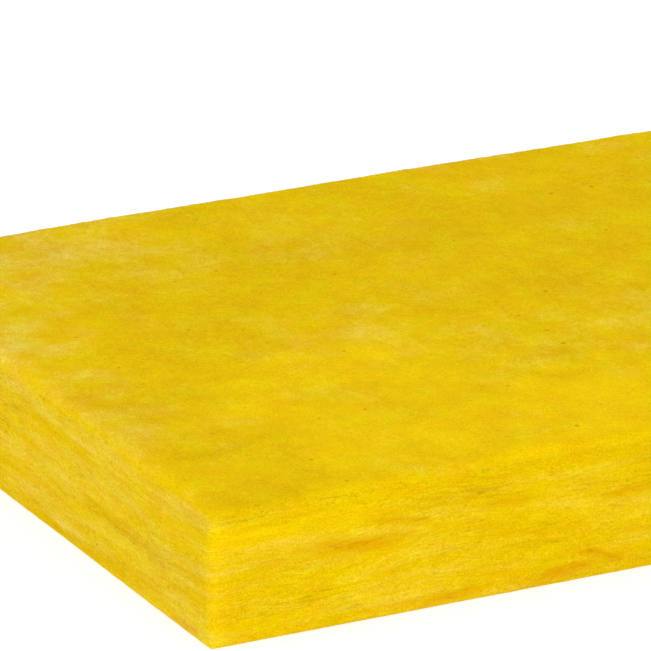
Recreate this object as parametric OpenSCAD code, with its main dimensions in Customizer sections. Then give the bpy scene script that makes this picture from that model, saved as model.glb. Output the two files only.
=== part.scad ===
// Semi-rigid glass wool insulation board: one slab cut from a wide mat, lying flat.
// The origin is at the middle of the underside. X runs along the board, and Z is up.

/* [Board] */
// Length of the board, along X
board_length = 1200; // [600:10:2400]
// Width of the board, along Y: what fills one bay between studs or joists
board_width = 600; // [300:5:1250]
// Thickness of the board, along Z
board_thickness = 100; // [40:5:200]

/* [Edges] */
// Radius of the soft edge all round the top face
top_edge_radius = 12; // [2:0.5:18]
// Radius of the tighter edge all round the underside, which the board lies on
bottom_edge_radius = 4; // [1:0.5:18]
// Radius of the four upright corners
upright_corner_radius = 9; // [2:0.5:40]

/* [Hidden] */
$fn = 64;

// The lower side of a flat outline that is centred on X = 0 and stands on Y = 0:
// a strip as deep as its two round corners.
module rounded_side(width, corner_radius) {
    corner_x = width / 2 - corner_radius;
    translate([-corner_x, 0])
        square([2 * corner_x, corner_radius]);
    for (side = [-1, 1])
        translate([side * corner_x, corner_radius])
            circle(corner_radius);
}

// A rectangle centred on X = 0 and standing on Y = 0, with one radius at its two lower
// corners and another at its two upper ones.
module rounded_outline(width, height, lower_radius, upper_radius) {
    translate([-width / 2, lower_radius])
        square([width, height - lower_radius - upper_radius]);
    rounded_side(width, lower_radius);
    translate([0, height])
        mirror([0, 1])
            rounded_side(width, upper_radius);
}

// The section that one passes through on a straight cut through the board.
module cut_section(width) {
    rounded_outline(width, board_thickness, bottom_edge_radius, top_edge_radius);
}

// The board is what its cross section, its long section and its plan have in common.
module glass_wool_board() {
    color("#e6be18")
        intersection() {
            translate([-board_length / 2, 0, 0])
                rotate([90, 0, 90])
                    linear_extrude(board_length)
                        cut_section(board_width);
            translate([0, board_width / 2, 0])
                rotate([90, 0, 0])
                    linear_extrude(board_width)
                        cut_section(board_length);
            translate([0, -board_width / 2, 0])
                linear_extrude(board_thickness)
                    rounded_outline(board_length, board_width,
                                    upright_corner_radius, upright_corner_radius);
        }
}

glass_wool_board();
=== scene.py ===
"""A semi-rigid glass wool insulation board, lying on a white floor.

The board is one closed mesh round the CAD block: its cut sides show wavy layers, and its two
large faces are felted. Loose fibres lie on it as thin closed strands.
"""

import itertools
import math
from types import SimpleNamespace

import bpy
import numpy as np
from mathutils import Matrix, Vector
from mathutils.geometry import delaunay_2d_cdt


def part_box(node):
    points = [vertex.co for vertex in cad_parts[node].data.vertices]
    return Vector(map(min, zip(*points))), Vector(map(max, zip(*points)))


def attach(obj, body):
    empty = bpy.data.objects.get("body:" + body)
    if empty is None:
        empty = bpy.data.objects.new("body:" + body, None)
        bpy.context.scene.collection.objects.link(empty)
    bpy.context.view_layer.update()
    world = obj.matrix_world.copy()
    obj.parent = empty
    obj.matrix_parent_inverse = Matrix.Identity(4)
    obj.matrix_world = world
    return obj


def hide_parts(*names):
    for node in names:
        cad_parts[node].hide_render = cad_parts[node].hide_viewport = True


MM = 0.001
NODE = "glass_wool_board"

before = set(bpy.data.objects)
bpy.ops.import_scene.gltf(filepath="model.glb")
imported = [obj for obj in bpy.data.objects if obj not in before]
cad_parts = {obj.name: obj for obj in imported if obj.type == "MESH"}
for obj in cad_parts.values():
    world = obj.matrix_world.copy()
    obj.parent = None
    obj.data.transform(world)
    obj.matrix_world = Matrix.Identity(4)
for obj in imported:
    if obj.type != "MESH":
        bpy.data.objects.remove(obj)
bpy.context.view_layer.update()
LOW, HIGH = (np.array(corner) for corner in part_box(NODE))
HALF = (HIGH - LOW)[:2] / 2
THICK = HIGH[2] - LOW[2]

# ---------------------------------------------------------------- camera, light and floor

CAMERA_TURN = math.radians(27.15)  # of the view, from along the width towards along the length
CAMERA_RISE = math.radians(19.44)  # how steeply the view looks down
CAMERA_AWAY = 4.53  # from the near corner, along the view
CAMERA_LENS = 373
CAMERA_SENSOR = 36
NEAR_CORNER_ACROSS = -0.0777  # where the near bottom corner is seen, from the view's middle
NEAR_CORNER_UP = -0.2190

SKY = 0.905
KEY_FROM = (-0.45, -0.75, 0.45)
KEY_AWAY = 6
KEY_ACROSS = 3
KEY_WATTS = 95

FLOOR_REACH = 60
FLOOR_DROP = 0.2 * MM  # under the board, so that the two don't share a plane
FLOOR_GREY = 0.45
FLOOR_GLOW = 0.66  # lifts the floor to the sky's white, and thins the shadow on it


def add_camera():
    """A long lens that looks over the board's near corner."""
    level = Vector((math.sin(CAMERA_TURN), math.cos(CAMERA_TURN), 0))
    right = Vector((math.cos(CAMERA_TURN), -math.sin(CAMERA_TURN), 0))
    ahead = math.cos(CAMERA_RISE) * level - math.sin(CAMERA_RISE) * Vector((0, 0, 1))
    up = right.cross(ahead)
    place = Vector(LOW) - NEAR_CORNER_ACROSS * right - NEAR_CORNER_UP * up - CAMERA_AWAY * ahead
    camera = bpy.data.objects.new("camera", bpy.data.cameras.new("camera"))
    camera.data.lens = CAMERA_LENS
    camera.data.sensor_width = CAMERA_SENSOR
    camera.data.clip_end = 100
    turn = Matrix((right, up, -ahead)).transposed().to_4x4()
    camera.matrix_world = Matrix.Translation(place) @ turn
    bpy.context.scene.collection.objects.link(camera)
    bpy.context.scene.camera = camera


def add_area_light(name, towards, away, size, watts):
    """A large soft light that shines on the board from the direction towards, away metres off."""
    light = bpy.data.objects.new(name, bpy.data.lights.new(name, "AREA"))
    light.data.shape = "DISK"
    light.data.size = size
    light.data.energy = watts
    direction = Vector(towards).normalized()
    light.location = direction * away
    light.rotation_mode = "QUATERNION"
    light.rotation_quaternion = direction.to_track_quat("Z", "Y")
    light.visible_camera = False
    bpy.context.scene.collection.objects.link(light)


def add_floor():
    """A plain white floor, which is level with the board's underside."""
    below = LOW[2] - FLOOR_DROP
    square = ((-1, -1), (1, -1), (1, 1), (-1, 1))
    corners = [(x * FLOOR_REACH, y * FLOOR_REACH, below) for x, y in square]
    mesh = bpy.data.meshes.new("floor")
    mesh.from_pydata(corners, [], [(0, 1, 2, 3)])
    white = bpy.data.materials.new("floor_white")
    white.use_nodes = True
    shader = white.node_tree.nodes["Principled BSDF"]
    shader.inputs["Base Color"].default_value = (FLOOR_GREY, FLOOR_GREY, FLOOR_GREY, 1)
    shader.inputs["Roughness"].default_value = 0.9
    shader.inputs["Specular IOR Level"].default_value = 0.1
    shader.inputs["Emission Color"].default_value = (1, 1, 1, 1)
    shader.inputs["Emission Strength"].default_value = FLOOR_GLOW
    mesh.materials.append(white)
    floor = bpy.data.objects.new("floor", mesh)
    bpy.context.scene.collection.objects.link(floor)


def add_studio():
    """A white floor under a white sky, with one soft light near the camera."""
    scene = bpy.context.scene
    scene.view_settings.view_transform = "Standard"
    scene.world = bpy.data.worlds.new("studio")
    scene.world.use_nodes = True
    sky = scene.world.node_tree.nodes["Background"]
    sky.inputs["Color"].default_value = (1, 1, 1, 1)
    sky.inputs["Strength"].default_value = SKY
    add_area_light("key", KEY_FROM, KEY_AWAY, KEY_ACROSS, KEY_WATTS)
    add_floor()


# ---------------------------------------------------------------- noise

RANDOM = np.random.default_rng(20)  # everything random is drawn from here, in the script's order
GRADIENTS = RANDOM.normal(size=(4096, 3))
GRADIENTS /= np.linalg.norm(GRADIENTS, axis=1, keepdims=True)


def noise(points, lump, seed):
    """Smooth noise from about -1 to 1. lump is how many metres across its lumps are, as one number
    or as three along x, y and z. Each use has a seed of its own."""
    at = points / np.asarray(lump, float)
    cell = np.floor(at).astype(np.int64)
    part = at - cell
    fade = part**3 * (part * (6 * part - 15) + 10)
    total = np.zeros(len(at))
    for corner in itertools.product((0, 1), repeat=3):
        # A hash of the cell's corner and the seed picks the slope there.
        x, y, z = (cell + corner).T
        key = (x * 73856093) ^ (y * 19349663) ^ (z * 83492791) ^ (seed * 40503001)
        key = (key ^ (key >> 13)) * 1274126177
        slope = GRADIENTS[(key ^ (key >> 16)) & 4095]
        weight = np.where(corner, fade, 1 - fade).prod(1)
        total += weight * ((part - corner) * slope).sum(1)
    return 1.6 * total  # which brings it to about -1 to 1


def smooth_step(value, low, high):
    """0 below low, 1 above high, and smooth between them."""
    part = np.clip((value - low) / (high - low), 0, 1)
    return part * part * (3 - 2 * part)


# ---------------------------------------------------------------- the board's form

TOP_RADIUS = 12 * MM  # as in the CAD block
BOTTOM_RADIUS = 4 * MM
CORNER_RADIUS = 9 * MM
CORNER_RADIUS_AT_BASE = 3.5 * MM  # the lowest wool was pressed outward, into a sharper corner
EDGE_ZONE = 24 * MM  # how far in from each side the grid is finer
CELLS_IN_ZONE = 9
CELLS_BETWEEN_ZONES = (205, 98)  # along x and along y
CELLS_IN_HEIGHT = 96
UNDERSIDE_COARSER = 5  # times as wide as the top's cells, since it lies flat
SAG_REACH = 60 * MM  # how far in from the edges the top sinks
CORNER_SAG = 3.0  # mm, on top of the edges' own
CORNER_SAG_REACH = 130 * MM


def edge_profile(inset, drop, upper):
    """Bends the edges of the plain box, seen in profile, into quarter circles.

    inset is how far in a point lies from the nearest side, and drop how far it lies from the top, or
    from the underside where upper is false. Gives both anew, and rise, which is how far the normal
    has turned from level. Half of a top edge comes from the top face's grid. The whole of a bottom
    edge is the side's.
    """
    radius = np.where(upper, TOP_RADIUS, BOTTOM_RADIUS)
    rise_above = math.pi / 4 * np.clip(1 + (inset - drop) / TOP_RADIUS, 0, 2)
    rise_below = math.pi / 2 * np.clip(1 - drop / BOTTOM_RADIUS, 0, 1)
    rise = np.where(upper, rise_above, rise_below)
    new_inset = np.where(inset < radius, radius * (1 - np.cos(rise)), inset)
    new_drop = np.where(drop < radius, radius * (1 - np.sin(rise)), drop)
    return new_inset, new_drop, rise


def plan_outline(on_box, inset, new_inset, corner_radius):
    """Shrinks each square ring round the board, seen from above, to its new inset, with round corners.

    Gives how far along x and y each point lies from the middle, and which way it faces there.
    """
    zone_start = HALF - EDGE_ZONE
    offset = np.abs(on_box[:, :2]) - zone_start
    shrink = (EDGE_ZONE - new_inset) / np.maximum(EDGE_ZONE - inset, 1e-6)
    offset = np.where(offset > 0, offset * shrink[:, None], offset)
    past = offset - (EDGE_ZONE - corner_radius)
    ring, least = past.max(1), past.min(1)
    in_corner = least > 0
    turn = math.pi / 4 * np.where(in_corner, least / np.where(in_corner, ring, 1), 0)
    turn = np.where(past[:, 1] > past[:, 0], math.pi / 2 - turn, turn)
    outward = np.column_stack([np.cos(turn), np.sin(turn)])
    arc = EDGE_ZONE - corner_radius + ring[:, None] * outward
    offset = np.where(in_corner[:, None], arc, offset)
    return zone_start + offset, outward


def rounded(on_box):
    """Moves points on the plain box to the block with round edges, and gives their normals too."""
    inset = (HALF - np.abs(on_box[:, :2])).min(1)
    height = on_box[:, 2] - LOW[2]
    upper = height > THICK / 2
    drop = np.where(upper, THICK - height, height)
    new_inset, new_drop, rise = edge_profile(inset, drop, upper)

    # The upright corners keep their radius nearly all the way down, and sharpen close to the floor.
    press = (1 - height / THICK)[:, None] ** 6
    corner_radius = CORNER_RADIUS + (CORNER_RADIUS_AT_BASE - CORNER_RADIUS) * press
    place, outward = plan_outline(on_box, inset, new_inset, corner_radius)

    sign = np.where(on_box[:, :2] < 0, -1, 1)
    new_height = np.where(upper, THICK - new_drop, new_drop)
    points = np.column_stack([sign * place, LOW[2] + new_height])
    level, steep = np.cos(rise)[:, None], np.where(upper, np.sin(rise), -np.sin(rise))
    return points, np.column_stack([sign * outward * level, steep])


def grid_lines(half, cells):
    """Where the grid's lines cross one axis. They are closer together near the two sides."""
    zone = np.linspace(half - EDGE_ZONE, half, CELLS_IN_ZONE + 1)
    between = np.linspace(EDGE_ZONE - half, half - EDGE_ZONE, cells + 1)
    return np.concatenate([-zone[:0:-1], between, zone[1:]])


def quads(sheet):
    """The four-sided faces between the rows and columns of a sheet of vertex numbers."""
    corners = [sheet[:-1, :-1], sheet[1:, :-1], sheet[1:, 1:], sheet[:-1, 1:]]
    return np.stack(corners, -1).reshape(-1, 4)


def with_underside(points, rim):
    """Adds the flat underside, a coarse grid that joins the rim: gives all the points, and its faces."""
    coarse = [
        np.linspace(EDGE_ZONE - half, half - EDGE_ZONE, cells // UNDERSIDE_COARSER)
        for half, cells in zip(HALF, CELLS_BETWEEN_ZONES)
    ]
    inner = np.stack(np.meshgrid(*coarse), -1).reshape(-1, 2)
    flat = [Vector(place) for place in np.vstack([points[rim, :2], inner])]
    ring = [(n, (n + 1) % len(rim)) for n in range(len(rim))]
    inside_ring, nearest = 1, 1e-7  # what delaunay_2d_cdt keeps, and how close two points may lie
    _, _, triangles, sources, _, _ = delaunay_2d_cdt(flat, ring, [], inside_ring, nearest)

    # Its points come from the rim or are new ones, and each triangle is turned round to face down.
    numbers = [rim[s[0]] if s[0] < len(rim) else len(points) + s[0] - len(rim) for s in sources]
    faces = np.array([[numbers[n] for n in triangle[::-1]] for triangle in triangles])
    below = np.column_stack([inner, np.full(len(inner), LOW[2])])
    return np.vstack([points, below]), faces


def box_grid():
    """A closed grid on the plain box: its points, and each panel's faces."""
    xs, ys = (grid_lines(half, cells) for half, cells in zip(HALF, CELLS_BETWEEN_ZONES))
    zs = np.linspace(LOW[2], HIGH[2], CELLS_IN_HEIGHT + 1)
    shell = np.ones((len(xs), len(ys), len(zs)), bool)
    shell[1:-1, 1:-1, :-1] = False
    number = np.full(shell.shape, -1)
    number[shell] = np.arange(shell.sum())
    i, j, k = np.nonzero(shell)
    points = np.column_stack([xs[i], ys[j], zs[k]])
    panels = {
        "top": quads(number[:, :, -1]),
        "front": quads(number[:, 0, :]),
        "back": quads(number[::-1, -1, :]),
        "left": quads(number[0, ::-1, :]),
        "right": quads(number[-1, :, :]),
    }
    base = number[:, :, 0]
    rim = np.concatenate([base[:-1, 0], base[-1, :-1], base[:0:-1, -1], base[0, :0:-1]])
    points, panels["underside"] = with_underside(points, rim)
    return points, panels


def sagged(points, on_box):
    """Lets the upper edges, and the corners most, sink a little, as on a board that was handled."""
    inset = HALF - np.abs(on_box[:, :2])
    from_edge, from_corner = inset.min(1), np.linalg.norm(inset, axis=1)
    sink = (0.5 + noise(points, 0.25, 12)) * np.clip(1 - from_edge / SAG_REACH, 0, 1) ** 2
    sink += CORNER_SAG * np.exp(-((from_corner / CORNER_SAG_REACH) ** 2))
    sunk = points.copy()
    sunk[:, 2] -= MM * sink * np.clip((on_box[:, 2] - LOW[2]) / THICK, 0, 1) ** 2
    return sunk


# ---------------------------------------------------------------- marks on the faces

# Each mark is a face, the places of its two ends on that face in mm, half its thickness in mm, and
# its strength. A place is (x, y) on the top, and (along, height) on a side. In a gap the layers stand
# apart. A pale layer or patch holds less binder, and a golden one holds more. A bright area is a
# pool of painted light.
FACES = {  # the axis that each one faces along, and which way
    "front": (1, -1),
    "right": (0, 1),
    "back": (1, 1),
    "left": (0, -1),
    "top": (2, 1),
}
GAPS = [
    ("front", (-530, 61), (-450, 58), 2.2, 0.45),
    ("front", (-508, 60), (-472, 55), 4.2, 0.9),
    ("front", (-475, 73), (-440, 67), 1.8, 0.5),
    ("front", (-386, 67), (-364, 68), 3.0, 0.6),
    ("front", (-292, 60), (-240, 59), 1.8, 0.55),
    ("front", (-332, 9), (-316, 10), 3.6, 0.85),
    ("front", (-310, 20), (-284, 10), 1.6, 0.95),
    ("front", (-419, 6), (-404, 7), 3.8, 0.8),
    ("left", (25, 70), (5, 75), 2.2, 0.4),
    ("left", (-40, 53), (-75, 55), 1.8, 0.2),
    ("left", (-150, 61), (-160, 60), 2.0, 0.35),
    ("left", (-245, 5), (-275, 5), 2.4, 0.7),
]
PALE_LAYERS = [
    ("front", (-543, 11), (-528, 11), 3.2, 1.0),
    ("front", (-530, 13), (-450, 12), 2.2, 0.5),
    ("front", (-590, 71), (-510, 72), 3.4, 0.4),
    ("front", (-490, 68), (-435, 60), 3.0, 0.5),
    ("front", (-420, 63), (-300, 60), 3.2, 0.35),
    ("front", (-300, 61), (-283, 63), 3.0, 0.7),
    ("front", (-435, 27), (-410, 28), 4.0, 0.5),
    ("left", (-32, 85), (-60, 85), 3.0, 0.9),
    ("left", (-85, 84), (-120, 84), 3.6, 0.6),
    ("left", (30, 48), (-105, 55), 4.0, 0.5),
    ("left", (-120, 52), (-150, 52), 4.0, 0.4),
    ("left", (-205, 54), (-235, 53), 4.0, 0.6),
    ("left", (-125, 31), (-212, 32), 4.8, 0.75),
    ("left", (-132, 20), (-152, 20), 3.2, 0.95),
    ("left", (-150, 22), (-215, 24), 3.5, 0.6),
    ("left", (-66, 11), (-98, 13), 3.0, 0.8),
    ("left", (-238, 21), (-290, 20), 2.6, 0.65),
]
PALE_PATCHES = [
    ("top", (-560, 235), (-460, 250), 60, 1.0),
    ("top", (-575, 90), (-550, 200), 40, 1.0),
    ("top", (-512, 225), (-488, 208), 9, 0.9),
    ("top", (-462, 222), (-448, 218), 9, 0.9),
    ("top", (-470, 240), (-390, 235), 20, 0.4),
    ("top", (-560, 98), (-548, 90), 10, 1.0),
    ("top", (-578, 55), (-552, 42), 11, 0.9),
    ("top", (-552, -35), (-548, -55), 9, 0.5),
    ("top", (-566, -110), (-562, -140), 7, 0.45),
    ("top", (-478, -110), (-474, -140), 7, 0.5),
]
# Pools of painted light: there the wool is drawn brighter and less pale, as if more light fell on it.
PAINTED_LIGHT_AREAS = [
    ("front", (-590, 84), (-490, 82), 9, 0.8),
    ("top", (-385, -230), (-230, -220), 85, 1.0),
    ("top", (-440, -75), (-365, -120), 42, 0.9),
    ("top", (-475, -130), (-365, -180), 34, 0.7),
    ("top", (250, 60), (400, 120), 75, 0.9),
    ("top", (80, -180), (160, -200), 50, 0.7),
]
GOLDEN_BANDS = [
    ("top", (-560, -262), (-440, -262), 45, 0.7),
    ("top", (-580, -200), (-500, -190), 8, 0.8),
    ("top", (-500, -190), (-400, -205), 8, 0.8),
    ("front", (-345, 8), (-250, 7), 7, 0.9),
    ("front", (-410, 68), (-250, 58), 12, 0.3),
    ("left", (-110, 40), (-245, 44), 5.0, 0.5),
]
UNPLACED = [  # the stretches of the sides that the placed marks don't reach
    ("front", -220, 580),
    ("right", -280, 280),
    ("back", -580, 580),
    ("left", 60, 280),
]


def scattered(face, low, high, count, longest, thickest, strongest):
    """Marks strewn at random over one side, between two places along it in mm."""
    marks = []
    for _ in range(count):
        along, height = RANDOM.uniform(low, high), RANDOM.uniform(4, 92)
        length, rise = longest * RANDOM.uniform(0.2, 1), RANDOM.normal(0, 3)
        half, strength = thickest * RANDOM.uniform(0.5, 1), strongest * RANDOM.uniform(0.3, 1)
        marks.append((face, (along, height), (along + length, height + rise), half, strength))
    return marks


def all_round(placed, per_metre, longest, thickest, strongest):
    """The placed marks, and scattered ones wherever those don't reach."""
    marks = list(placed)
    for face, low, high in UNPLACED:
        count = round(per_metre * (high - low) / 1000)
        marks += scattered(face, low, high, count, longest, thickest, strongest)
    return marks


def over_the_top_face(placed, count):
    """The placed patches, and scattered ones on the part of the top beyond them."""
    marks = list(placed)
    for _ in range(count):
        start = RANDOM.uniform((-380, -270), (570, 280))
        end = start + RANDOM.normal(0, 14, 2)
        marks.append(("top", start, end, RANDOM.uniform(6, 16), RANDOM.uniform(0.2, 0.8)))
    return marks


ALL_GAPS = all_round(GAPS, per_metre=26, longest=60, thickest=3.0, strongest=0.85)
ALL_PALE = all_round(PALE_LAYERS, per_metre=30, longest=120, thickest=4.5, strongest=0.9)
ALL_PALE += over_the_top_face(PALE_PATCHES, 22)


def marked(points, normals, marks):
    """How strongly each point lies in one of the marks, from 0 to 1.

    Marks wander a little. They fade out past their half thickness, and stretch times more slowly
    along the face than across it.
    """
    wander = np.stack([noise(points, 0.03, 21), noise(points, (0.014, 0.014, 0.008), 22)], 1)
    broad = noise(points, 0.022, 23)
    most = np.zeros(len(points))
    for face, start, end, half, strength in marks:
        axis, sign = FACES[face]
        facing = sign * normals[:, axis]
        near = facing > 0.6
        if face == "top":
            at = points[near, :2] + MM * half * np.column_stack([broad[near], wander[near, 0]])
            stretch = 1.5
        else:
            at = points[near][:, (1 - axis, 2)] + MM * wander[near] * (5, 1.6)
            stretch = 3
        start, end = np.array(start) * MM, np.array(end) * MM
        share = np.clip((at - start) @ (end - start) / ((end - start) @ (end - start)), 0, 1)
        off = (at - start - share[:, None] * (end - start)) / (half * MM)
        depth = strength * np.exp(-((off[:, 0] / stretch) ** 2 + off[:, 1] ** 2))
        most[near] = np.maximum(most[near], depth * smooth_step(facing[near], 0.6, 0.9))
    return most


# ---------------------------------------------------------------- relief and colour fields

# How far in from the edge the rim of a felted face, its two ends and the upright corners start to
# fade out, and where they are gone.
RIM_FADE = (4 * MM, 24 * MM)
END_RIM_FADE = (4 * MM, 26 * MM)
CORNER_FADE = (3 * MM, 20 * MM)


def bed_height(points):
    """How high each point lies in the stack of layers, which ripple between the two flat faces."""
    height = points[:, 2] - LOW[2]
    ripple = 5 * noise(points, (0.19, 0.19, 0.3), 1) + 3.5 * noise(points, (0.065, 0.065, 0.05), 2)
    room = np.sin(math.pi * np.clip(height / THICK, 0, 1)) ** 0.6
    return height + MM * ripple * room


def surroundings(points, normals):
    """What each point lies in, as fields that the relief and the colours share.

    bed is its place among the layers, and wavy and fine are two sizes of ripple of those layers.
    side is 1 on the cut sides and 0 on the two felted faces, and end is 1 on the two short sides.
    rim is 1 at the outer edge of a felted face, and end_rim only at its two ends. corner is 1 along
    the upright corners of the two long sides. gap, faded, golden and bright are the marks; the bright
    areas are pools of painted light.
    """
    bed = np.column_stack([points[:, :2], bed_height(points)])
    inset = HALF - np.abs(points[:, :2])
    steep = np.linalg.norm(normals[:, :2], axis=1)
    side = smooth_step(steep + 0.25 * noise(points, 0.022, 25), 0.3, 0.9)
    end = smooth_step(np.abs(normals[:, 0]), 0.5, 0.95)
    return SimpleNamespace(
        bed=bed,
        wavy=noise(bed, (0.045, 0.045, 0.0045), 4),
        fine=noise(bed, (0.02, 0.02, 0.0026), 5),
        side=side,
        end=end,
        rim=1 - smooth_step(inset.min(1), *RIM_FADE),
        end_rim=1 - smooth_step(inset[:, 0], *END_RIM_FADE),
        corner=side * (1 - end) * (1 - smooth_step(inset[:, 0], *CORNER_FADE)),
        gap=side * marked(points, normals, ALL_GAPS),
        faded=marked(points, normals, ALL_PALE),
        golden=marked(points, normals, GOLDEN_BANDS),
        bright=marked(points, normals, PAINTED_LIGHT_AREAS),
    )


def relief(points, normals, at):
    """How far the surface stands out from the smooth block. The underside stays flat."""
    cut = 0.5 * noise(at.bed, (0.12, 0.12, 0.014), 3) + 0.62 * at.wavy + 0.45 * at.fine
    cut += 0.5 * noise(points, (0.018, 0.018, 0.014), 6) - 2.4 * at.gap + 0.5 * at.side * at.faded
    felt = 0.7 * noise(points, (0.16, 0.11, 0.11), 9) + 0.45 * noise(points, 0.045, 10)
    felt += 0.3 * noise(points, 0.018, 11)
    felt *= 1 - 0.55 * at.rim
    above_floor = smooth_step(normals[:, 2], -0.9, -0.2)
    return MM * (at.side * cut + (1 - at.side) * felt) * above_floor


def colouring(points, at):
    """How bright the wool is, round 0, and how pale, mostly from 0 to 1.

    Along the upright corners it is calmer, where the cuts pressed it together, and brighter: a
    painted highlight, where the rounded corners catch light from both sides.
    """
    cut_tone = 0.03 * at.wavy + 0.07 * at.fine + 0.2 * noise(at.bed, (0.14, 0.14, 0.02), 13)
    # The rise in tone along the corners is a painted highlight.
    cut_tone = cut_tone * (1 - 0.6 * at.corner) + 0.22 * at.corner + 0.12 * at.faded
    felt_tone = 0.22 * noise(points, 0.1, 14) + 0.12 * noise(points, (0.024, 0.03, 0.027), 15)
    # Along the two ends of the felted faces the tone rises: a painted highlight where their edges catch
    # the light.
    felt_tone += 0.26 * at.end_rim
    # The bright areas add painted light to the tone, and below they take paleness away.
    tone = at.side * cut_tone + (1 - at.side) * felt_tone - 0.22 * at.golden + 0.45 * at.bright

    cut_pale = 0.1 + 0.17 * at.end + 0.28 * noise(at.bed, (0.1, 0.1, 0.012), 16)
    cut_pale += 0.24 * at.wavy + 0.06 * at.corner
    felt_pale = 0.1 + 0.38 * noise(points, 0.13, 17) + 0.4 * noise(points, 0.035, 18)
    felt_pale += 0.26 * at.end_rim - 0.1 * at.rim
    pale = at.side * cut_pale + (1 - at.side) * felt_pale
    pale += 0.35 * at.faded - 0.14 * at.golden - 0.28 * at.bright
    tone += (0.08 + 0.07 * at.side) * (pale - 0.2)
    return tone, pale


def surface(on_box):
    """Where points of the plain box lie on the board, their normals, and the fields that colour it.

    edge is how far a point lies on the rounding of an upper edge or an upright corner, where the
    material draws a painted highlight, as if the fuzzy edges caught more light.
    """
    points, normals = rounded(on_box)
    at = surroundings(points, normals)
    tone, pale = colouring(points, at)
    crease = np.clip(2.2 * (1 - (normals**2).max(1)), 0, 1) * (normals[:, 2] > -0.1)
    edge = crease * (0.55 + 0.7 * noise(points, 0.05, 24))
    fields = dict(gap=at.gap, pale=pale, tone=tone, side=at.side, bed=at.bed, edge=edge)
    raised = points + normals * relief(points, normals, at)[:, None]
    return sagged(raised, on_box), normals, fields


# ---------------------------------------------------------------- meshes

# Where each face lies on the board's map: the two axes it shows, then left, bottom, width, height.
MAP_PANELS = {
    "top": ((0, 1), (0.004, 0.568, 0.992, 0.428)),
    "front": ((0, 2), (0.004, 0.454, 0.992, 0.108)),
    "back": ((0, 2), (0.004, 0.340, 0.992, 0.108)),
    "left": ((1, 2), (0.004, 0.226, 0.493, 0.108)),
    "right": ((1, 2), (0.503, 0.226, 0.493, 0.108)),
    "underside": ((0, 1), (0.004, 0.004, 0.992, 0.216)),
}


def new_object(name, points, faces, material, **attributes):
    """A smooth mesh object. faces are arrays of corner numbers, and each attribute has a number, or
    three, for every point."""
    mesh = bpy.data.meshes.new(name)
    corners = np.concatenate([part.ravel() for part in faces])
    counts = np.concatenate([np.full(len(part), part.shape[1]) for part in faces])
    mesh.vertices.add(len(points))
    mesh.vertices.foreach_set("co", points.astype(np.float32).ravel())
    mesh.loops.add(len(corners))
    mesh.loops.foreach_set("vertex_index", corners.astype(np.int32))
    mesh.polygons.add(len(counts))
    mesh.polygons.foreach_set("loop_start", (np.cumsum(counts) - counts).astype(np.int32))
    mesh.update(calc_edges=True)
    for title, values in attributes.items():
        kind, key = ("FLOAT", "value") if values.ndim == 1 else ("FLOAT_VECTOR", "vector")
        layer = mesh.attributes.new(title, kind, "POINT")
        layer.data.foreach_set(key, values.astype(np.float32).ravel())
    mesh.shade_smooth()
    mesh.materials.append(material)
    made = bpy.data.objects.new(name, mesh)
    bpy.context.scene.collection.objects.link(made)
    return made


def lay_out(mesh, places):
    """Gives the mesh its map: a place for each corner of each face."""
    layer = mesh.uv_layers.new(name="OFBake")
    layer.uv.foreach_set("vector", places.astype(np.float32).ravel())


def add_board(material):
    """The board's mesh. Each of its faces has a panel of the map, upright and without overlaps."""
    on_box, panels = box_grid()
    points, _, fields = surface(on_box)
    board = new_object("board", points, list(panels.values()), material, **fields)
    places = []
    for name, faces in panels.items():
        (across, up), (left, bottom, width, height) = MAP_PANELS[name]
        share = (on_box[faces.ravel()] - LOW) / (HIGH - LOW)
        places.append(np.column_stack([left + width * share[:, across], bottom + height * share[:, up]]))
    lay_out(board.data, np.vstack(places))
    return board


# ---------------------------------------------------------------- loose fibres

STRETCHES = 6  # straight stretches in one fibre
FIBRES_IN_PIECE = 6500
FIBRE_RADIUS = (0.06 * MM, 0.13 * MM)
FIBRE_SETTLE = (-0.1 * MM, 0.2 * MM)  # how far its middle lies out of the wool
FIBRE_FLY = 0.4 * MM  # how much further its ends stand off, on average
FIBRE_ABOVE_FLOOR = 0.05 * MM


def fibre_lengths(count, shortest):
    """Lengths of which most are about 18 mm, and none over 40 mm."""
    return MM * np.clip(RANDOM.lognormal(2.9, 0.4, count), shortest, 40)


def round_the_sides(along, height):
    """Points of the plain box's sides: along metres round it from the near corner, and height up."""
    width, depth = 2 * HALF
    along = along % (2 * (width + depth))
    across = np.clip(along, 0, width) - np.clip(along - width - depth, 0, width)
    inward = np.clip(along - width, 0, depth) - np.clip(along - 2 * width - depth, 0, depth)
    return np.stack([across - HALF[0], inward - HALF[1], LOW[2] + height], -1)


def over_the_top(x, y):
    """Points of the plain box's top face, which turn down over its sides past its edges."""
    place = np.stack([x, y], -1)
    inside = np.clip(place, -HALF, HALF)
    past = np.abs(place - inside).max(-1)
    return np.concatenate([inside, (HIGH[2] - past)[..., None]], -1)


def side_fibres(count):
    """Fibres that lie along the layers of the cut sides: their places on the plain box."""
    girth = 4 * HALF.sum()
    middle, height = RANDOM.uniform(0, girth, count), RANDOM.uniform(1.5 * MM, THICK - 2 * MM, count)
    length = fibre_lengths(count, 8)
    slope = RANDOM.normal(0, 0.12, count)
    bend = RANDOM.normal(0, 0.12, count)
    share = np.linspace(-0.5, 0.5, STRETCHES + 1)
    along = middle[:, None] + length[:, None] * share
    rise = length[:, None] * (slope[:, None] * share + bend[:, None] * (share**2 - 0.08))
    level = round_the_sides(along, np.repeat(height[:, None], STRETCHES + 1, 1))
    bed = bed_height(level.reshape(-1, 3)).reshape(along.shape)
    height = height[:, None] + rise - (bed - bed[:, [STRETCHES // 2]])
    return round_the_sides(along, np.clip(height, 0.8 * MM, THICK - 1 * MM))


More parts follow.
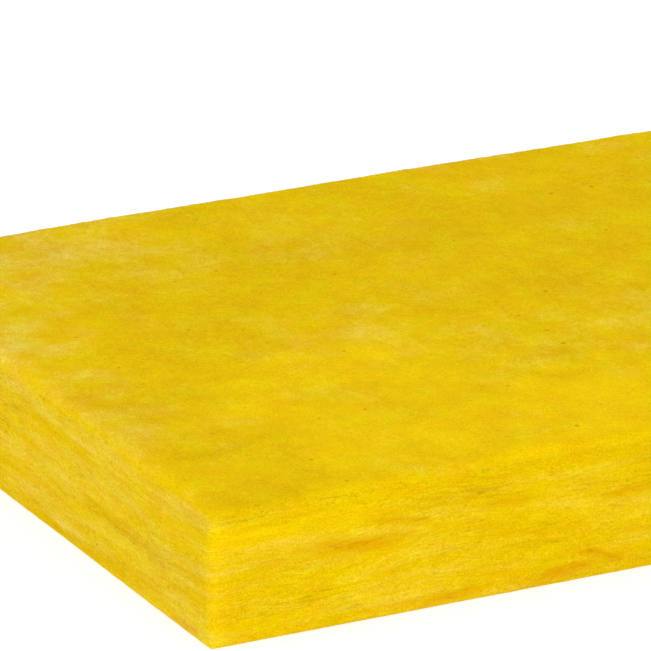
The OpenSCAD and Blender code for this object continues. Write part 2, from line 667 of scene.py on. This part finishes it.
def top_fibres(count):
    """Fibres that lie every way on the top face, a few of them hanging over its edges."""
    x, y = (RANDOM.uniform(-half, half, count) for half in HALF)
    length = fibre_lengths(count, 6)
    heading = RANDOM.uniform(0, math.pi, count)
    curl = RANDOM.normal(0, 1.0, count)
    share = np.linspace(-0.5, 0.5, STRETCHES + 1)
    turn = heading[:, None] + curl[:, None] * share
    step = length[:, None] / STRETCHES
    start_x = x - 0.5 * length * np.cos(heading)
    start_y = y - 0.5 * length * np.sin(heading)
    x = start_x[:, None] + np.cumsum(step * np.cos(turn), 1)
    y = start_y[:, None] + np.cumsum(step * np.sin(turn), 1)
    return over_the_top(x, y)


def unit(vectors):
    """The same directions, each 1 long."""
    return vectors / np.linalg.norm(vectors, axis=-1, keepdims=True)


def loosened(centres, outward):
    """Lets the fibres stand off the surface a little, and their ends more."""
    count, stops = centres.shape[:2]
    share = np.linspace(-1, 1, stops)
    fly = RANDOM.exponential(FIBRE_FLY, (count, 2))
    fly = np.where(share < 0, fly[:, :1], fly[:, 1:]) * np.abs(share) ** 3
    settle = RANDOM.uniform(*FIBRE_SETTLE, count)
    return centres + outward * (settle[:, None] + fly)[..., None]


def strand_points(centres, outward, radius):
    """The points of each strand: one tip, a ring of three at each stop between, and the other tip."""
    along = np.gradient(centres, axis=1)
    sidewise = unit(np.cross(outward, along))
    upward = unit(np.cross(along, sidewise))
    rings = [
        centres + radius[:, None, None] * (math.cos(angle) * upward + math.sin(angle) * sidewise)
        for angle in (0, math.tau / 3, 2 * math.tau / 3)
    ]
    rings = np.stack(rings, 2)[:, 1:-1].reshape(len(centres), -1, 3)
    points = np.concatenate([centres[:, :1], rings, centres[:, -1:]], 1)
    points[..., 2] = np.maximum(points[..., 2], LOW[2] + FIBRE_ABOVE_FLOOR)
    return points


def strand_faces(count, per_strand):
    """The three-sided faces that close each of the strands."""
    last = per_strand - 1
    faces = [(0, 1 + k, 1 + (k + 1) % 3) for k in range(3)]
    for base in range(1, last - 3, 3):
        for k in range(3):
            a, b = base + k, base + (k + 1) % 3
            faces += [(a, a + 3, b + 3), (a, b + 3, b)]
    faces += [(last, last - 3 + (k + 1) % 3, last - 3 + k) for k in range(3)]
    return (np.array(faces) + per_strand * np.arange(count)[:, None, None]).reshape(-1, 3)


def add_fibres(name, on_box, material):
    """One piece of loose fibres. Each takes the colour of the wool at its middle, a little brighter."""
    count, stops = on_box.shape[:2]
    centres, outward, fields = surface(on_box.reshape(-1, 3))
    centres, outward = centres.reshape(count, stops, 3), unit(outward).reshape(count, stops, 3)
    radius = RANDOM.uniform(*FIBRE_RADIUS, count)
    points = strand_points(loosened(centres, outward), outward, radius)
    per_strand = points.shape[1]
    faces = strand_faces(count, per_strand)

    tone, pale = (fields[key].reshape(count, stops)[:, stops // 2] for key in ("tone", "pale"))
    tone = np.repeat(tone + RANDOM.normal(0.15, 0.16, count), per_strand)
    pale = np.repeat(np.clip(pale + RANDOM.exponential(0.07, count), 0, 1), per_strand)
    fibres = new_object(name, points.reshape(-1, 3), [faces], material, tone=tone, pale=pale)

    # On the map a fibre is one spot, placed by its tone and paleness, so like colours lie together.
    spots = np.column_stack([0.5 + 0.3 * tone, pale]).clip(0.01, 0.99)
    lay_out(fibres.data, spots[faces.ravel()])

    # A real fibre is far thinner, so these cast no shadow and throw no light back on the board.
    fibres.visible_shadow = False
    fibres.visible_diffuse = False
    return fibres


# ---------------------------------------------------------------- materials

# From dark to bright wool, as it looks on a screen: full of binder, and short of it.
GOLDEN_WOOL = [(194, 139, 0), (211, 166, 0), (225, 188, 1), (240, 200, 2), (251, 214, 6)]
FADED_WOOL = [(208, 175, 81), (220, 195, 86), (231, 208, 97), (241, 222, 111), (249, 233, 135)]
# Colours of painted shade in the gaps between layers, shallow and deep.
SHALLOW_GAP_SHADE = (224, 157, 1)
DEEP_GAP_SHADE = (184, 120, 1)
SPECK_COLOUR = (150, 96, 4)
SHEEN_COLOUR = (255, 214, 40)
HUE_SPREAD = 0.013
SPECK_CELL = 38 * MM
SPECK_SHARE = 0.2  # of the squares as wide as a speck cell, this many have a dark speck of dust


def light(red, green, blue):
    """A colour given as it looks on a screen, from 0 to 255, in the shader's terms."""
    parts = (c / 255 for c in (red, green, blue))
    return (*(p / 12.92 if p <= 0.04045 else ((p + 0.055) / 1.055) ** 2.4 for p in parts), 1)


class Nodes:
    """Builds a material's node tree, one call for each node."""

    def __init__(self, name):
        self.material = bpy.data.materials.new(name)
        self.material.use_nodes = True
        self.tree = self.material.node_tree
        self.tree.nodes.clear()

    def add(self, kind, inputs=None, **settings):
        """A node. Each input is a number or colour, or the socket that feeds it."""
        node = self.tree.nodes.new("ShaderNode" + kind)
        for setting, value in settings.items():
            setattr(node, setting, value)
        for key, value in (inputs or {}).items():
            if isinstance(value, bpy.types.NodeSocket):
                self.tree.links.new(value, node.inputs[key])
            else:
                node.inputs[key].default_value = value
        return node

    def attribute(self, name, output="Fac"):
        """One of the fields that the mesh holds."""
        return self.add("Attribute", attribute_name=name).outputs[output]

    def noise(self, vector, lump, detail=2.0, rough=0.5):
        """Noise from about -1 to 1, whose lumps are lump metres across along x, y and z."""
        scale = tuple(1 / size for size in lump)
        at = self.add("Mapping", {"Vector": vector, "Scale": scale}).outputs[0]
        inputs = {"Vector": at, "Scale": 1.0, "Detail": detail, "Roughness": rough}
        grey = self.add("TexNoise", inputs).outputs["Fac"]
        return self.math("MULTIPLY_ADD", grey, 4.0, -2.0)

    def math(self, operation, *values):
        """A sum on numbers or sockets."""
        return self.add("Math", dict(enumerate(values)), operation=operation).outputs[0]

    def total(self, *terms):
        """The sum of values, each multiplied by its share."""
        parts = [self.math("MULTIPLY", value, share) for value, share in terms]
        result = parts[0]
        for part in parts[1:]:
            result = self.math("ADD", result, part)
        return result

    def spread(self, value, low, high, to_low=0.0, to_high=1.0):
        """Maps low..high smoothly to to_low..to_high."""
        inputs = {"Value": value, "From Min": low, "From Max": high, "To Min": to_low, "To Max": to_high}
        return self.add("MapRange", inputs, interpolation_type="SMOOTHSTEP").outputs["Result"]

    def mix_values(self, factor, a, b):
        """a where factor is 0, and b where it is 1. The node has inputs 2 and 3 for numbers."""
        return self.add("Mix", {0: factor, 2: a, 3: b}, data_type="FLOAT").outputs[0]

    def mix_colours(self, factor, a, b):
        """The same for colours, which have inputs 6 and 7."""
        return self.add("Mix", {0: factor, 6: a, 7: b}, data_type="RGBA").outputs[2]

    def ramp(self, value, colours):
        """The colours in equal steps as value goes from -1 to 1."""
        share = self.math("MULTIPLY_ADD", value, 0.5, 0.5)
        node = self.add("ValToRGB", {"Fac": share})
        stops = node.color_ramp.elements
        for _ in colours[2:]:
            stops.new(0.5)
        for number, (stop, colour) in enumerate(zip(stops, colours)):
            stop.position = number / (len(colours) - 1)
            stop.color = light(*colour)
        return node.outputs["Color"]


def wool_colour(n, tone, pale):
    """The wool's colour. tone runs from -1 to 1, and pale from 0 to 1."""
    golden, faded = n.ramp(tone, GOLDEN_WOOL), n.ramp(tone, FADED_WOOL)
    return n.mix_colours(n.math("MULTIPLY", pale, pale), golden, faded)


def finished_wool(n, colour):
    """The wool's dull, slightly silky finish. Gives its shader."""
    shader = n.add("BsdfPrincipled", {"Base Color": colour})
    shader.inputs["Roughness"].default_value = 0.95
    shader.inputs["Specular IOR Level"].default_value = 0.02
    shader.inputs["Sheen Weight"].default_value = 0.1
    shader.inputs["Sheen Roughness"].default_value = 0.6
    shader.inputs["Sheen Tint"].default_value = light(*SHEEN_COLOUR)
    n.add("OutputMaterial", {"Surface": shader.outputs[0]})
    return shader


def wool_patterns(n, place, bed):
    """The fine patterns of the wool, each from about -1 to 1, or from 0 where they are single marks.

    streaks, bands, dashes (dark), wisps (light) and creases lie along the layers. creases are
    thin lines of painted shade, as in hairline gaps between layers. grain and tufts follow no layer.
    """
    clusters = n.spread(n.noise(bed, (0.035, 0.035, 0.012), detail=1), -0.4, 0.8, 0.35, 1.5)
    dashes = n.spread(n.noise(bed, (0.006, 0.006, 0.0012), detail=1), 0.3, 0.95)
    levels = n.math("ABSOLUTE", n.noise(bed, (0.045, 0.045, 0.004), detail=1))
    broken = n.spread(n.noise(bed, (0.06, 0.06, 0.015), detail=1), 0.0, 0.7)
    return SimpleNamespace(
        streaks=n.noise(bed, (0.009, 0.009, 0.0018), detail=3, rough=0.6),
        bands=n.noise(bed, (0.04, 0.04, 0.0035), detail=2),
        dashes=n.math("MULTIPLY", dashes, clusters),
        wisps=n.spread(n.noise(bed, (0.0085, 0.0085, 0.0015), detail=1), 0.4, 1.1),
        creases=n.math("MULTIPLY", n.spread(levels, 0.0, 0.2, 1.0, 0.0), broken),
        grain=n.noise(place, (0.0014, 0.0014, 0.0014), detail=1, rough=0.6),
        tufts=n.noise(place, (0.007, 0.0095, 0.008), detail=3, rough=0.6),
    )


def board_tone(n, p, side):
    """How bright the board's wool is: the mesh's own tone, with the fine patterns on it."""
    layered = n.total((p.streaks, 0.07), (p.bands, 0.03), (p.grain, 0.145), (p.dashes, -0.18))
    cut = n.math("ADD", layered, n.total((p.wisps, 0.08), (p.creases, -0.22)))
    felt = n.total((p.tufts, 0.09), (p.grain, 0.17))
    tone = n.math("ADD", n.attribute("tone"), n.mix_values(side, felt, cut))
    # The rounded edges are drawn brighter here: a painted highlight.
    return n.math("MULTIPLY_ADD", n.attribute("edge"), 0.09, tone)


def board_shade(n, p, side):
    """The light and shade between single fibres, as a factor round 1."""
    layered = n.total((p.streaks, 0.035), (p.grain, 0.085), (p.dashes, -0.11))
    cut = n.math("ADD", layered, n.total((p.wisps, 0.045), (p.creases, -0.12)))
    felt = n.total((p.tufts, 0.026), (p.grain, 0.095))
    return n.math("ADD", 1.0, n.mix_values(side, felt, cut))


def board_pale(n, p, side):
    """How pale the board's wool is: the mesh's own paleness, with flecks on it."""
    cut = n.total((p.streaks, 0.16), (p.grain, 0.05), (p.wisps, 0.15), (p.dashes, -0.12))
    felt = n.total((p.tufts, 0.25), (p.grain, 0.12))
    pale = n.math("ADD", n.attribute("pale"), n.mix_values(side, felt, cut))
    return n.math("MAXIMUM", pale, 0.0)


def dark_specks(n, p, place, side):
    """How much of a speck of dust shows at each place of the felted faces."""
    cells = n.add("VectorMath", {0: place, 1: (SPECK_CELL,) * 3}, operation="DIVIDE").outputs[0]
    settings = {"Vector": cells, "Scale": 1.0, "Randomness": 1.0}
    dots = n.add("TexVoronoi", settings, voronoi_dimensions="2D")
    draws = n.add("SeparateColor", {"Color": dots.outputs["Color"]}).outputs
    felted = n.math("SUBTRACT", 1.0, side)
    chosen = n.math("MULTIPLY", n.math("LESS_THAN", draws[0], SPECK_SHARE), felted)
    size = n.math("MULTIPLY_ADD", draws[1], 0.03, n.math("MULTIPLY_ADD", p.grain, 0.01, 0.022))
    nearness = n.spread(n.math("DIVIDE", dots.outputs["Distance"], size), 0.4, 1.3, 0.55, 0.0)
    return n.math("MULTIPLY", chosen, nearness)


def wool_material():
    """Glass wool: streaks along the layers of the cut sides, grain and specks on the felted faces."""
    n = Nodes("glass_wool")
    place = n.add("TexCoord").outputs["Object"]
    bed, side = n.attribute("bed", "Vector"), n.attribute("side")
    p = wool_patterns(n, place, bed)

    colour = wool_colour(n, board_tone(n, p, side), board_pale(n, p, side))
    hues = n.noise(place, (0.03, 0.03, 0.012), detail=3, rough=0.6)
    hue = n.math("MULTIPLY_ADD", hues, HUE_SPREAD, 0.5)
    turned = {"Hue": hue, "Value": board_shade(n, p, side), "Color": colour}
    colour = n.add("HueSaturation", turned).outputs[0]

    # The gaps between layers, which stand apart in the mesh too, are darkened towards orange-brown:
    # painted shade in the recesses.
    ragged = n.total((p.streaks, 0.25), (p.grain, 0.5))
    gap = n.math("MULTIPLY", n.attribute("gap"), n.math("ADD", ragged, 0.7))
    gap_shade = n.mix_colours(n.spread(p.streaks, -0.1, 0.9), light(*SHALLOW_GAP_SHADE), light(*DEEP_GAP_SHADE))
    colour = n.mix_colours(gap, colour, gap_shade)
    colour = n.mix_colours(dark_specks(n, p, place, side), colour, light(*SPECK_COLOUR))
    shader = finished_wool(n, colour)

    felt_height = n.total((p.grain, 0.6), (p.tufts, 1.0))
    cut_height = n.total((p.grain, 0.5), (p.streaks, 1.0))
    height = n.mix_values(side, felt_height, cut_height)
    bump = n.add("Bump", {"Height": height, "Strength": 0.6, "Distance": 0.6 * MM}).outputs[0]
    n.tree.links.new(bump, shader.inputs["Normal"])
    return n.material


def fibre_material():
    """Single fibres: the wool's colours, one tone to each fibre."""
    n = Nodes("loose_fibres")
    finished_wool(n, wool_colour(n, n.attribute("tone"), n.attribute("pale")))
    return n.material


# ---------------------------------------------------------------- the model

add_camera()
add_studio()
wool = wool_material()
board = add_board(wool)
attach(board, "root")
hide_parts(NODE)
fluff = fibre_material()
for number in (1, 2):
    for place, lay in (("side", side_fibres), ("top", top_fibres)):
        fibres = add_fibres(f"{place}_fibres_{number}", lay(FIBRES_IN_PIECE), fluff)
        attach(fibres, "root")
